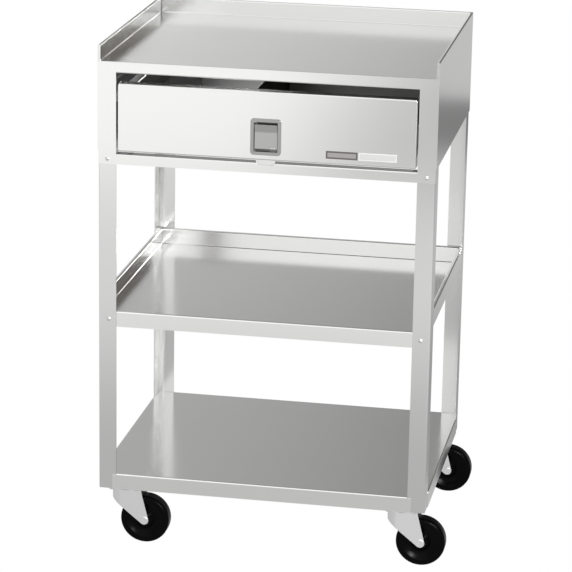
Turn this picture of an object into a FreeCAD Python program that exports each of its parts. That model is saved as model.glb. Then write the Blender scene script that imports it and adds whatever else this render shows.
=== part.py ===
import FreeCAD, Part
import math
import os

Vec = FreeCAD.Vector

# Instrument trolley in folded stainless sheet. Millimetres, X to the right, Y to the back, Z up.
# The origin is on the floor, under the middle of the top.

# Overall sizes
overall_width = 508.0
overall_depth = 406.4
top_height = 764.2
middle_shelf_height = 379.8
lower_shelf_height = 119.7
caster_height = 95.2

# Sheet and folding
sheet = 1.2
leg_sheet = 1.5
bend = 1.0
seam = 0.8
slide_fit = 0.3
pin_fit = 0.05

# Top tray
top_flange = 24.7
top_hem = 4.5
skirt_drop = 134.3
top_front_lip = 13.0
weld_land = 8.0

# Face frame round the drawer
frame_band = 17.1
frame_rail = 15.7
frame_drop = 155.1
frame_return = 9.0

# Legs
leg_face = 27.0
leg_side = 32.0

# Middle shelf
shelf_flange = 25.0
shelf_hem = 6.5
shelf_front_lip = 24.2

# Lower shelf
lower_lip = 24.5
lip_lap = 6.0
notch_gap = 0.3

# Channels that carry the casters
channel_width = 58.0
channel_flange = 6.0

# Drawer
drawer_side_gap = 2.1
drawer_top_gap = 15.0
drawer_bottom_gap = 4.1
drawer_front_depth = 16.0
drawer_depth = 355.0
drawer_floor_rise = 6.0
drawer_wall_height = 82.0
drawer_hem = 6.0
front_corner_radius = 3.0
front_back_lip = 14.0
divider_height = 78.0
divider_spacing = 143.0
divider_first = 37.0
divider_foot = 10.0

# Drawer slides
slide_width = 12.7
slide_height = 38.0
slide_length = 350.0
slide_level = 44.0
bracket_height = 60.0
bracket_flange = 16.0
stop_length = 5.0

# Latch in the drawer front
pan_width = 45.9
pan_height = 55.0
pan_corner = 5.0
pan_sheet = 1.0
pan_margin = 5.1
pan_depth = 10.0
pan_level = 7.6
paddle_side_gap = 1.0
paddle_sheet = 1.6
paddle_lip = 12.0
paddle_lip_lean = 2.6
paddle_top_gap = 3.5
paddle_bend = 3.0
barrel_radius = 3.2
barrel_rise = 4.8
barrel_setback = 4.5
hinge_pin_radius = 1.5
spring_gap = 9.0
spring_offset = 1.5
spring_wire = 0.7
arm_width = 8.0
arm_sheet = 1.4
arm_reach = 9.2
bolt_sheet = 1.4
bolt_bend = 0.6
bolt_width = 20.0
tongue_width = 29.0
tongue_corner = 6.0
tongue_reach = 3.4
bolt_slot_height = 4.6
paddle_swing = 40.0
guide_sheet = 1.0
guide_wing = 6.0
strike_width = 44.0
strike_drop = 11.0

# Casters
caster_inset = 37.1
caster_trail = 28.6
wheel_radius = 38.1
tyre_half = 12.0
web_half = 8.5
rim_radius = 25.0
hub_half = 13.0
hub_radius = 10.5
bush_radius = 5.6
axle_radius = 3.9
axle_head = 5.6
axle_head_height = 1.8
hub_gap = 0.4
fork_sheet = 2.3
fork_knee = 28.5
fork_end_radius = 7.0
plate_x = 52.0
plate_y = 66.0
plate_sheet = 2.5
plate_corner = 6.0
plate_holes_x = 38.0
plate_holes_y = 50.0
race_height = 5.2
race_radius = 21.0
race_bore = 12.0
crown_radius = 24.0
crown_drop = 15.0
kingpin_radius = 5.0
kingpin_head = 8.0
kingpin_head_height = 3.0

# Fasteners
bolt_radius = 3.0
bolt_head_flats = 9.0
bolt_head_height = 2.4
nut_flats = 10.0
nut_height = 4.0
rivet_radius = 2.0
rivet_head_radius = 3.3
rivet_head_height = 0.9
frame_rivet_inset = 13.5
shelf_rivet_drop = 7.2

# Places worked out from the sizes above
half_width = overall_width / 2
half_depth = overall_depth / 2
leg_x = half_width - sheet
leg_y = half_depth - sheet
opening_half = leg_x - leg_face
frame_bottom = caster_height
frame_low = top_height - frame_drop
opening_low = frame_low + frame_rail
opening_high = top_height - frame_band
face_y = -half_depth
front_half = opening_half - drawer_side_gap
front_low = opening_low + drawer_bottom_gap
front_high = opening_high - drawer_top_gap
box_front_y = face_y + drawer_front_depth
box_half = opening_half - slide_width
box_low = front_low + drawer_floor_rise
slide_z = front_low + slide_level
slide_front_y = box_front_y + slide_fit
axle_z = wheel_radius
crown_z = frame_bottom - plate_sheet - race_height - slide_fit

CORNERS = {
    "front_left": (-1, -1),
    "front_right": (1, -1),
    "rear_left": (-1, 1),
    "rear_right": (1, 1),
}
SIDES = {"left": -1, "right": 1}


def box(x0, x1, y0, y1, z0, z1):
    # A plain block between two corners, given in any order
    low = Vec(min(x0, x1), min(y0, y1), min(z0, z1))
    return Part.makeBox(abs(x1 - x0), abs(y1 - y0), abs(z1 - z0), low)


def rounded_wire(points, radii):
    # A closed outline through the points, with an arc of the given radius at each
    count = len(points)
    edges = []
    starts = []
    ends = []
    middles = []
    for i, point in enumerate(points):
        before = points[i - 1]
        after = points[(i + 1) % count]
        back = Vec(before).sub(point)
        ahead = Vec(after).sub(point)
        back.normalize()
        ahead.normalize()
        half_angle = back.getAngle(ahead) / 2
        radius = radii[i]
        reach = radius / math.tan(half_angle) if radius > 0 else 0
        starts.append(point + back * reach)
        ends.append(point + ahead * reach)
        inward = back + ahead
        if radius > 0:
            inward.normalize()
            middles.append(point + inward * (radius / math.sin(half_angle) - radius))
        else:
            middles.append(point)
    for i in range(count):
        if radii[i] > 0:
            edges.append(Part.Arc(starts[i], middles[i], ends[i]).toShape())
        following = starts[(i + 1) % count]
        if ends[i].distanceToPoint(following) > 1e-6:
            edges.append(Part.makeLine(ends[i], following))
    return Part.Wire(edges)


def prism(points, radii, direction):
    # The outline, filled and pushed along a direction
    return Part.Face(rounded_wire(points, radii)).extrude(direction)


def bent_outline(path, thickness, radius):
    # The section of a folded sheet: the path is one face, the sheet lies to its left
    # Points and radii come back in the path's own plane, as (u, v) pairs
    count = len(path)
    normals = []
    for (u0, v0), (u1, v1) in zip(path[:-1], path[1:]):
        length = math.hypot(u1 - u0, v1 - v0)
        normals.append((-(v1 - v0) / length, (u1 - u0) / length))
    offset = []
    near_radii = []
    far_radii = []
    for i, (u, v) in enumerate(path):
        if i == 0 or i == count - 1:
            nu, nv = normals[0] if i == 0 else normals[-1]
            offset.append((u + nu * thickness, v + nv * thickness))
            near_radii.append(0)
            far_radii.append(0)
            continue
        (au, av), (bu, bv) = normals[i - 1], normals[i]
        scale = thickness / (1 + au * bu + av * bv)
        offset.append((u + (au + bu) * scale, v + (av + bv) * scale))
        turns_left = au * bv - av * bu > 0
        near_radii.append(radius + thickness if turns_left else radius)
        far_radii.append(radius if turns_left else radius + thickness)
    return path + offset[::-1], near_radii + far_radii[::-1]


def fold_along_y(path, thickness, y0, y1, radius=bend):
    # A folded sheet whose section is drawn in X and Z
    outline, radii = bent_outline(path, thickness, radius)
    points = [Vec(u, y0, v) for u, v in outline]
    return prism(points, radii, Vec(0, y1 - y0, 0))


def fold_along_x(path, thickness, x0, x1, radius=bend):
    # A folded sheet whose section is drawn in Y and Z
    outline, radii = bent_outline(path, thickness, radius)
    points = [Vec(x0, u, v) for u, v in outline]
    return prism(points, radii, Vec(x1 - x0, 0, 0))


def mirror_x(shape):
    return shape.mirror(Vec(0, 0, 0), Vec(1, 0, 0))


def mirror_y(shape):
    return shape.mirror(Vec(0, 0, 0), Vec(0, 1, 0))


def to_corner(shape, side, end):
    # A piece made for the front left corner, turned over to the corner it belongs to
    if side > 0:
        shape = mirror_x(shape)
    if end > 0:
        shape = mirror_y(shape)
    return shape


def join(shapes):
    whole = shapes[0].fuse(shapes[1:])
    return whole.removeSplitter()


def hexagon(centre, flats, height):
    # A six-sided block standing on its centre point
    across = flats / math.sqrt(3)
    points = []
    for k in range(6):
        angle = math.radians(60 * k)
        points.append(centre + Vec(across * math.cos(angle), across * math.sin(angle), 0))
    return prism(points, [0] * 6, Vec(0, 0, height))


def corner_wedge(x, y, low, high, size, gap):
    # All that lies behind the 45 degree line through the rear left corner, widened by half the seam
    shift = gap / 2 * math.sqrt(2)
    points = [
        Vec(x - size, y + size - shift, low),
        Vec(x + size, y - size - shift, low),
        Vec(x + size, y + size, low),
    ]
    return prism(points, [0, 0, 0], Vec(0, 0, high - low))


def mitred_rim(path_side, path_back, reach_x, reach_y, low, high, outer_x, outer_y):
    # Two side folds and a back fold that meet in open mitres at the rear corners
    size = weld_land * 3
    wedge = corner_wedge(-outer_x, outer_y, low, high, size, seam)
    other_wedge = wedge.mirror(Vec(-outer_x, outer_y, 0), Vec(1, 1, 0))
    left = fold_along_y(path_side, sheet, -reach_y, outer_y).cut(wedge)
    back = fold_along_x(path_back, sheet, -reach_x, reach_x)
    back = back.cut(other_wedge).cut(mirror_x(other_wedge))
    return left, mirror_x(left), back


def build_top_tray():
    # Top sheet with raised hemmed flanges on three sides, whose outer walls drop as the skirt
    inner_x = half_width - top_hem
    inner_y = half_depth - top_hem
    rim_z = top_height + top_flange
    skirt_z = top_height - skirt_drop
    side_path = [
        (-half_width + sheet, skirt_z),
        (-half_width + sheet, rim_z - sheet),
        (-inner_x - sheet, rim_z - sheet),
        (-inner_x - sheet, top_height - sheet),
        (-inner_x + weld_land, top_height - sheet),
    ]
    back_path = [
        (inner_y - weld_land, top_height - sheet),
        (inner_y + sheet, top_height - sheet),
        (inner_y + sheet, rim_z - sheet),
        (half_depth - sheet, rim_z - sheet),
        (half_depth - sheet, skirt_z),
    ]
    left, right, back = mitred_rim(
        side_path, back_path, half_width, half_depth, skirt_z, rim_z, half_width, half_depth
    )
    lip_y = face_y + sheet
    floor_path = [
        (lip_y, top_height - sheet - top_front_lip),
        (lip_y, top_height),
        (inner_y - bend - sheet, top_height),
    ]
    outline, radii = bent_outline(floor_path[::-1], sheet, bend)
    floor_x = inner_x - bend - sheet
    points = [Vec(-floor_x, u, v) for u, v in outline]
    floor = prism(points, radii, Vec(2 * floor_x, 0, 0))
    leg_gap = box(
        -floor_x - 1, -opening_half, lip_y - 1, -leg_y + leg_sheet, skirt_z, top_height - sheet
    )
    floor = floor.cut(leg_gap).cut(mirror_x(leg_gap))
    front_notch = box(
        -half_width + sheet, -inner_x + weld_land, face_y - 1, lip_y, skirt_z, top_height
    )
    left = left.cut(front_notch)
    right = right.cut(mirror_x(front_notch))
    return join([floor, left, right, back])


def tongue_outline(y, low, high, width, corner):
    # A plate with two well rounded lower corners
    w = width / 2
    points = [Vec(-w, y, high), Vec(-w, y, low), Vec(w, y, low), Vec(w, y, high)]
    return points, [0, corner, corner, 0]


def build_face_frame():
    # One pressed sheet with the drawer opening, turned in round it, and a notch for the latch
    back_y = face_y + sheet
    deep_y = face_y + frame_return
    panel = box(-leg_x, leg_x, face_y, back_y, frame_low, top_height)
    window = box(-opening_half, opening_half, face_y - 1, back_y + 1, opening_low, opening_high)
    panel = panel.cut(window)
    low_return = fold_along_x(
        [(face_y, opening_low - weld_land), (face_y, opening_low), (deep_y, opening_low)][::-1],
        sheet, -opening_half, opening_half,
    )
    high_return = fold_along_x(
        [(deep_y, opening_high), (face_y, opening_high), (face_y, opening_high + weld_land)][::-1],
        sheet, -opening_half, opening_half,
    )
    strip = box(-opening_half, opening_half, face_y - 1, back_y + 1, opening_low - weld_land, opening_low)
    high_strip = box(
        -opening_half, opening_half, face_y - 1, back_y + 1, opening_high, opening_high + weld_land
    )
    panel = panel.cut(strip).cut(high_strip)
    frame = join([panel, low_return, high_return])
    clear = slide_fit * 2
    points, radii = tongue_outline(
        face_y - 1, opening_low - tongue_reach, opening_low + tongue_reach,
        tongue_width + clear, tongue_corner,
    )
    tongue_y = back_y + slide_fit
    notch = prism(points, radii, Vec(0, 1 + sheet, 0))
    slot_half = tongue_width / 2 + clear
    slot = box(
        -slot_half, slot_half, face_y - 1, tongue_y + bolt_sheet + slide_fit,
        opening_low - sheet - bend, opening_low + 1,
    )
    slot = slot.cut(box(-slot_half, slot_half, face_y - 1, back_y, opening_low - weld_land, opening_low + 1))
    return frame.cut(notch).cut(slot)


def build_leg():
    # An angle with its corner outwards, for the front left corner
    low = frame_bottom
    path = [
        (-opening_half, -leg_y),
        (-leg_x, -leg_y),
        (-leg_x, -leg_y + leg_side),
    ]
    outline, radii = bent_outline(path[::-1], leg_sheet, bend)
    points = [Vec(u, v, low) for u, v in outline]
    return prism(points, radii, Vec(0, 0, top_height - sheet - low))


def build_middle_shelf():
    # Hemmed flanges up on three sides, lip down at the front, held between the legs
    outer_x = leg_x - leg_sheet
    outer_y = leg_y - leg_sheet
    inner_x = outer_x - shelf_hem
    inner_y = outer_y - shelf_hem
    rim_z = middle_shelf_height + shelf_flange
    floor_z = middle_shelf_height - sheet
    side_path = [
        (-outer_x + sheet, floor_z),
        (-outer_x + sheet, rim_z - sheet),
        (-inner_x - sheet, rim_z - sheet),
        (-inner_x - sheet, floor_z),
        (-inner_x + weld_land, floor_z),
    ]
    back_path = [
        (inner_y - weld_land, floor_z),
        (inner_y + sheet, floor_z),
        (inner_y + sheet, rim_z - sheet),
        (outer_y - sheet, rim_z - sheet),
        (outer_y - sheet, floor_z),
    ]
    left, right, back = mitred_rim(
        side_path, back_path, outer_x, outer_y - bend, floor_z, rim_z, outer_x, outer_y
    )
    floor_path = [
        (inner_y - bend - sheet, middle_shelf_height),
        (-outer_y, middle_shelf_height),
        (-outer_y, middle_shelf_height - shelf_front_lip),
    ]
    outline, radii = bent_outline(floor_path, sheet, bend)
    floor_x = inner_x - bend - sheet
    points = [Vec(-floor_x, u, v) for u, v in outline]
    floor = prism(points, radii, Vec(2 * floor_x, 0, 0))
    lip_end = prism(points, radii, Vec(-(outer_x - bend - floor_x), 0, 0))
    lip_end = lip_end.common(
        box(-outer_x, -floor_x, -outer_y - 1, -outer_y + sheet, floor_z - shelf_front_lip, floor_z)
    )
    return join([floor, left, right, back, lip_end, mirror_x(lip_end)])


def build_lower_shelf():
    # A pan with its lips down outside the legs, notched where the legs pass
    top = lower_shelf_height
    plate = box(-half_width, half_width, -half_depth, half_depth, top - lower_lip, top)
    edges = []
    for edge in plate.Edges:
        middle = edge.CenterOfMass
        along_top = abs(middle.z - top) < 1e-6
        if along_top:
            edges.append(edge)
    plate = plate.makeFillet(bend + sheet, edges)
    inside = box(-leg_x, leg_x, -leg_y, leg_y, top - lower_lip - 1, top - sheet)
    pan = plate.cut(inside)
    notch_x = leg_face + notch_gap
    notch_y = leg_side + notch_gap
    slot = leg_sheet + 2 * notch_gap
    lap_x = leg_face - lip_lap
    lap_y = leg_side - lip_lap
    for side, end in CORNERS.values():
        x = -leg_x
        y = -leg_y
        slot_x = box(x, x + notch_x, y, y + slot, top - sheet - 1, top + 1)
        slot_y = box(x, x + slot, y, y + notch_y, top - sheet - 1, top + 1)
        front_notch = box(x - 2 * sheet, x + lap_x, y - 2 * sheet, y, top - lower_lip - 1, top + 1)
        side_notch = box(x - 2 * sheet, x, y, y + lap_y, top - lower_lip - 1, top + 1)
        bend_cut_x = box(x, x + notch_x, y - 2 * sheet, y, top - sheet - bend, top + 1)
        bend_cut_y = box(x - 2 * sheet, x, y, y + notch_y, top - sheet - bend, top + 1)
        for cutter in (slot_x, slot_y, front_notch, side_notch, bend_cut_x, bend_cut_y):
            pan = pan.cut(to_corner(cutter, side, end))
    return pan.removeSplitter()


def stem_places():
    # The middle of each caster's swivel
    places = {}
    for corner, (side, end) in CORNERS.items():
        places[corner] = (side * (leg_x - caster_inset), end * (leg_y - caster_inset))
    return places


def hole_offsets():
    half_x = plate_holes_x / 2
    half_y = plate_holes_y / 2
    return [(sx * half_x, sy * half_y) for sx in (-1, 1) for sy in (-1, 1)]


def build_caster_channel(side):
    # A hat channel under the lower shelf, level with the shelf's lip, its nuts welded in
    middle = leg_x - caster_inset
    low = frame_bottom
    flange_z = lower_shelf_height - 2 * sheet
    left = -middle - channel_width / 2
    right = -middle + channel_width / 2
    path = [
        (left - channel_flange, flange_z),
        (left, flange_z),
        (left, low),
        (right, low),
        (right, flange_z),
        (right + channel_flange, flange_z),
    ]
    outline, radii = bent_outline(path, sheet, bend)
    end_y = leg_y - leg_sheet - bend
    points = [Vec(u, -end_y, v) for u, v in outline]
    channel = prism(points, radii, Vec(0, 2 * end_y, 0))
    nuts = []
    holes = []
    for x, y in stem_places().values():
        if x > 0:
            continue
        for dx, dy in hole_offsets():
            place = Vec(x + dx, y + dy, low)
            nuts.append(hexagon(place + Vec(0, 0, sheet), nut_flats, nut_height))
            holes.append(Part.makeCylinder(bolt_radius + pin_fit, sheet + nut_height, place))
    channel = channel.fuse(nuts).cut(holes).removeSplitter()
    return channel if side < 0 else mirror_x(channel)


def build_slide_bracket(side):
    # A channel from the front leg to the rear leg, behind the edge of the opening
    x = -opening_half
    low = slide_z - bracket_height / 2
    high = slide_z + bracket_height / 2
    path = [
        (x - bracket_flange, low),
        (x, low),
        (x, high),
        (x - bracket_flange, high),
    ]
    bracket = fold_along_y(path, sheet, -leg_y + leg_sheet, leg_y - leg_sheet)
    return bracket if side < 0 else mirror_x(bracket)


def build_cabinet_slide(side):
    # The outer slide channel, screwed to its bracket and open towards the drawer
    x = -opening_half
    depth = slide_width - sheet - slide_fit
    low = slide_z - slide_height / 2
    high = slide_z + slide_height / 2
    path = [
        (x + depth, low),
        (x, low),
        (x, high),
        (x + depth, high),
    ]
    channel = fold_along_y(path[::-1], sheet, slide_front_y, slide_front_y + slide_length)
    end_y = slide_front_y + slide_length
    stop = box(x + sheet, x + depth, end_y - sheet, end_y, low + sheet, low + sheet + stop_length)
    channel = join([channel, stop])
    return channel if side < 0 else mirror_x(channel)


def build_drawer_slide(side):
    # The inner slide channel, fixed to the drawer's side and running inside the outer one
    x = -box_half
    reach = slide_width - 2 * sheet - 2 * slide_fit
    low = slide_z - slide_height / 2 + sheet + slide_fit
    high = slide_z + slide_height / 2 - sheet - slide_fit
    path = [
        (x - reach, low),
        (x, low),
        (x, high),
        (x - reach, high),
    ]
    start = box_front_y
    end = slide_front_y + slide_length - sheet - slide_fit
    channel = fold_along_y(path, sheet, start, end)
    return channel if side < 0 else mirror_x(channel)


def build_drawer_front():
    # A shallow pan with rounded edges, cut for the latch and its bolt
    outer = box(-front_half, front_half, face_y, box_front_y, front_low, front_high)
    corner_edges = []
    face_edges = []
    for edge in outer.Edges:
        middle = edge.CenterOfMass
        if abs(middle.y - (face_y + box_front_y) / 2) < 1e-6:
            corner_edges.append(edge)
    outer = outer.makeFillet(front_corner_radius, corner_edges)
    for edge in outer.Edges:
        if abs(edge.BoundBox.YMax - face_y) < 1e-6:
            face_edges.append(edge)
    outer = outer.makeFillet(bend + sheet, face_edges)
    inner = box(
        -front_half + sheet, front_half - sheet, face_y + sheet, box_front_y - sheet,
        front_low + sheet, front_high - sheet,
    )
    back_open = box(
        -front_half + front_back_lip, front_half - front_back_lip, face_y + sheet, box_front_y + 1,
        front_low + front_back_lip, front_high - front_back_lip,
    )
    shell = outer.cut(inner).cut(back_open)
    hole_half = pan_width / 2 - pan_margin + pan_sheet + slide_fit
    hole_low = front_low + pan_level + pan_margin - pan_sheet - slide_fit
    hole_high = front_low + pan_level + pan_height - pan_margin + pan_sheet + slide_fit
    hole = box(-hole_half, hole_half, face_y - 1, face_y + 2 * sheet, hole_low, hole_high)
    tongue_half = tongue_width / 2 + 2 * slide_fit
    slot = box(
        -tongue_half, tongue_half, face_y + sheet, face_y + sheet + bolt_sheet + 2 * slide_fit,
        front_low - 1, front_low + 2 * sheet,
    )
    return shell.cut(hole).cut(slot)


def build_drawer_box():
    # Open tray with hems turned out along its sides, and its front wall behind the drawer front
    high = box_low + drawer_wall_height
    back_y = box_front_y + drawer_depth
    path = [
        (-box_half - drawer_hem, high),
        (-box_half, high),
        (-box_half, box_low),
        (box_half, box_low),
        (box_half, high),
        (box_half + drawer_hem, high),
    ]
    trough = fold_along_y(path, sheet, box_front_y, back_y)
    inner = box_half - sheet
    front_wall = box(-inner, inner, box_front_y, box_front_y + sheet, box_low + sheet, high)
    back_wall = box(-inner, inner, back_y - sheet, back_y, box_low + sheet, high)
    return join([trough, front_wall, back_wall])


def build_divider(x):
    # A removable partition with a foot along the drawer's floor
    floor = box_low + sheet
    path = [
        (x, floor + divider_height),
        (x, floor),
        (x + divider_foot, floor),
    ]
    start = box_front_y + sheet + slide_fit
    end = box_front_y + drawer_depth - sheet - slide_fit
    return fold_along_y(path, sheet, start, end)


def pan_window():
    # Width and heights of the space inside the latch pan
    half = pan_width / 2 - pan_margin
    low = front_low + pan_level + pan_margin
    high = front_low + pan_level + pan_height - pan_margin
    return half, low, high


def hinge_axis():
    # Depth and height of the paddle's pin
    low = pan_window()[1]
    return face_y + barrel_setback, low + barrel_rise


def bolt_travel():
    # How far the arm lifts the bolt when the paddle is pulled through its whole angle
    arm = pan_depth + slide_fit + bolt_sheet / 2 - barrel_setback
    return arm * math.sin(math.radians(paddle_swing))


def build_latch_pan():
    # The recessed cup of the latch with its frame on the drawer front, and ears for the hinge pin
    half, low, high = pan_window()
    w = pan_width / 2
    z0 = front_low + pan_level
    z1 = z0 + pan_height
    points = [Vec(-w, face_y, z0), Vec(w, face_y, z0), Vec(w, face_y, z1), Vec(-w, face_y, z1)]
    rim = prism(points, [pan_corner] * 4, Vec(0, -pan_sheet, 0))
    deep_y = face_y + pan_depth
    cup = box(-half - pan_sheet, half + pan_sheet, face_y, deep_y, low - pan_sheet, high + pan_sheet)
    pan = rim.fuse(cup)
    pan = pan.cut(box(-half, half, face_y - 2 * pan_sheet, deep_y - pan_sheet, low, high))
    pin_y, pin_z = hinge_axis()
    pin_hole = Part.makeCylinder(
        hinge_pin_radius + pin_fit, 2 * (half + pan_sheet), Vec(-half - pan_sheet, pin_y, pin_z), Vec(1, 0, 0)
    )
    arm_slot = box(
        -arm_width / 2 - 1, arm_width / 2 + 1, deep_y - pan_sheet - 1, deep_y + 1,
        pin_z - arm_sheet / 2 - 1, pin_z + arm_sheet / 2 + bolt_travel() + 1,
    )
    return pan.cut(pin_hole).cut(arm_slot).removeSplitter()


def build_latch_pin():
    # The paddle's hinge pin, held in the sides of the pan
    pin_y, pin_z = hinge_axis()
    length = 2 * (pan_window()[0] + pan_sheet)
    return Part.makeCylinder(hinge_pin_radius, length, Vec(-length / 2, pin_y, pin_z), Vec(1, 0, 0))


def build_latch_paddle():
    # The pull flap: a barrel on the pin, a flat, a lip that leans out, and an arm for the bolt
    half, low, high = pan_window()
    pin_y, pin_z = hinge_axis()
    w = half - paddle_side_gap
    bore = hinge_pin_radius + pin_fit
    flat_y = pin_y - barrel_radius + paddle_sheet
    top = high - paddle_top_gap
    knee = top - paddle_lip
    path = [
        (flat_y, pin_z),
        (flat_y, knee),
        (flat_y - paddle_lip_lean, top),
    ]
    flap = fold_along_x(path, paddle_sheet, -w, w, radius=paddle_bend)
    barrel = Part.makeCylinder(barrel_radius, 2 * w, Vec(-w, pin_y, pin_z), Vec(1, 0, 0))
    arm = box(
        -arm_width / 2, arm_width / 2, pin_y, pin_y + arm_reach,
        pin_z - arm_sheet / 2, pin_z + arm_sheet / 2,
    )
    hole = Part.makeCylinder(bore, 2 * w + 2, Vec(-w - 1, pin_y, pin_z), Vec(1, 0, 0))
    spring_room = barrel_radius + slide_fit
    gap_x = arm_width / 2 + spring_offset
    gap = Part.makeCylinder(spring_room, spring_gap, Vec(gap_x, pin_y, pin_z), Vec(1, 0, 0))
    return flap.fuse([barrel, arm]).cut(hole).cut(gap).removeSplitter()


def build_latch_spring():
    # Close-wound torsion spring on the hinge pin, drawn as the sleeve that its turns fill
    pin_y, pin_z = hinge_axis()
    start = Vec(arm_width / 2 + spring_offset + slide_fit, pin_y, pin_z)
    length = spring_gap - 2 * slide_fit
    inner = hinge_pin_radius + pin_fit
    spring = Part.makeCylinder(inner + spring_wire, length, start, Vec(1, 0, 0))
    return spring.cut(Part.makeCylinder(inner, length, start, Vec(1, 0, 0)))


def build_latch_bolt():
    # Rises behind the pan, steps forward under it and ends in the rounded tongue
    pin_z = hinge_axis()[1]
    front_plane = face_y + sheet + slide_fit
    back_plane = face_y + pan_depth + slide_fit
    step_z = front_low + sheet + 2 * slide_fit
    top = pin_z + 3 * bolt_slot_height
    path = [
        (front_plane, front_low),
        (front_plane, step_z + bolt_sheet),
        (back_plane, step_z + bolt_sheet),
        (back_plane, top),
    ]
    w = bolt_width / 2
    upright = fold_along_x(path[::-1], bolt_sheet, -w, w, radius=bolt_bend)
    points, radii = tongue_outline(
        front_plane, opening_low - tongue_reach, step_z + bolt_sheet, tongue_width, tongue_corner
    )
    tongue = prism(points, radii, Vec(0, bolt_sheet, 0))
    window = box(
        -arm_width / 2 - 1, arm_width / 2 + 1, back_plane - 1, back_plane + bolt_sheet + 1,
        pin_z - bolt_slot_height / 2, pin_z + bolt_slot_height / 2,
    )
    return upright.fuse(tongue).cut(window).removeSplitter()


def build_latch_guide():
    # A strap across the back of the pan that keeps the bolt upright
    pin_z = hinge_axis()[1]
    back = face_y + pan_depth
    room = bolt_sheet + 2 * slide_fit
    inner = bolt_width / 2 + slide_fit
    low = pin_z + arm_reach * math.sin(math.radians(paddle_swing)) + arm_sheet
    high = low + bolt_slot_height * 2
    points = [
        Vec(-inner - guide_wing, back, low),
        Vec(-inner - guide_wing, back + guide_sheet, low),
        Vec(-inner - guide_sheet, back + guide_sheet, low),
        Vec(-inner - guide_sheet, back + room + guide_sheet, low),
        Vec(inner + guide_sheet, back + room + guide_sheet, low),
        Vec(inner + guide_sheet, back + guide_sheet, low),
        Vec(inner + guide_wing, back + guide_sheet, low),
        Vec(inner + guide_wing, back, low),
        Vec(inner, back, low),
        Vec(inner, back + room, low),
        Vec(-inner, back + room, low),
        Vec(-inner, back, low),
    ]
    return prism(points, [0] * len(points), Vec(0, 0, high - low))


def build_latch_strike():
    # An angle under the rail that the tongue bears on
    y = face_y + sheet + bolt_sheet + 2 * slide_fit
    z = opening_low - sheet
    path = [
        (face_y + frame_return, z),
        (y, z),
        (y, z - strike_drop),
    ]
    return fold_along_x(path, sheet, -strike_width / 2, strike_width / 2)


def build_caster_plate(x, y):
    # The caster's fixed plate with cut corners, holed for four bolts and the kingpin
    low = frame_bottom - plate_sheet
    w = plate_x / 2
    d = plate_y / 2
    outline = []
    for sx, sy in ((-1, -1), (1, -1), (1, 1), (-1, 1)):
        along_x = Vec(x + sx * (w - plate_corner), y + sy * d, low)
        along_y = Vec(x + sx * w, y + sy * (d - plate_corner), low)
        outline.extend([along_y, along_x] if sx == sy else [along_x, along_y])
    plate = prism(outline, [0] * len(outline), Vec(0, 0, plate_sheet))
    holes = [Part.makeCylinder(kingpin_radius, plate_sheet, Vec(x, y, low))]
    for dx, dy in hole_offsets():
        holes.append(Part.makeCylinder(bolt_radius + slide_fit, plate_sheet, Vec(x + dx, y + dy, low)))
    return plate.cut(holes)


def build_race_ring(x, y):
    # The hardened ball race between plate and fork
    low = Vec(x, y, frame_bottom - plate_sheet - race_height)
    ring = Part.makeCylinder(race_radius, race_height, low)
    return ring.cut(Part.makeCylinder(race_bore, race_height, low))


def build_kingpin(x, y):
    # The rivet that the fork turns on, flush in the plate, with its formed head under the crown
    low = crown_z - fork_sheet - slide_fit
    shank = Part.makeCylinder(kingpin_radius, frame_bottom - low, Vec(x, y, low))
    head_low = Vec(x, y, low - kingpin_head_height)
    head = Part.makeCylinder(kingpin_head, kingpin_head_height, head_low)
    return shank.fuse(head).removeSplitter()


def tangent_point(start, centre, radius, side):
    # Where a line from the start touches a circle in the XZ plane, on its left (1) or right (-1)
    across = centre - start
    heading = math.atan2(across.z, across.x) + side * math.asin(radius / across.Length)
    length = math.sqrt(across.Length ** 2 - radius ** 2)
    return start + Vec(math.cos(heading), 0, math.sin(heading)) * length


def fork_plan(reach, tail, low, high):
    # The yoke's outline seen from above, round at its leading end, raised between two levels
    lead = crown_radius - hub_half - hub_gap - fork_sheet
    plan = Part.Wire([
        Part.makeLine(Vec(tail, -reach, low), Vec(-lead, -reach, low)),
        Part.Arc(Vec(-lead, -reach, low), Vec(-lead - reach, 0, low), Vec(-lead, reach, low)).toShape(),
        Part.makeLine(Vec(-lead, reach, low), Vec(tail, reach, low)),
        Part.makeLine(Vec(tail, reach, low), Vec(tail, -reach, low)),
    ])
    return Part.Face(plan).extrude(Vec(0, 0, high - low))


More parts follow.
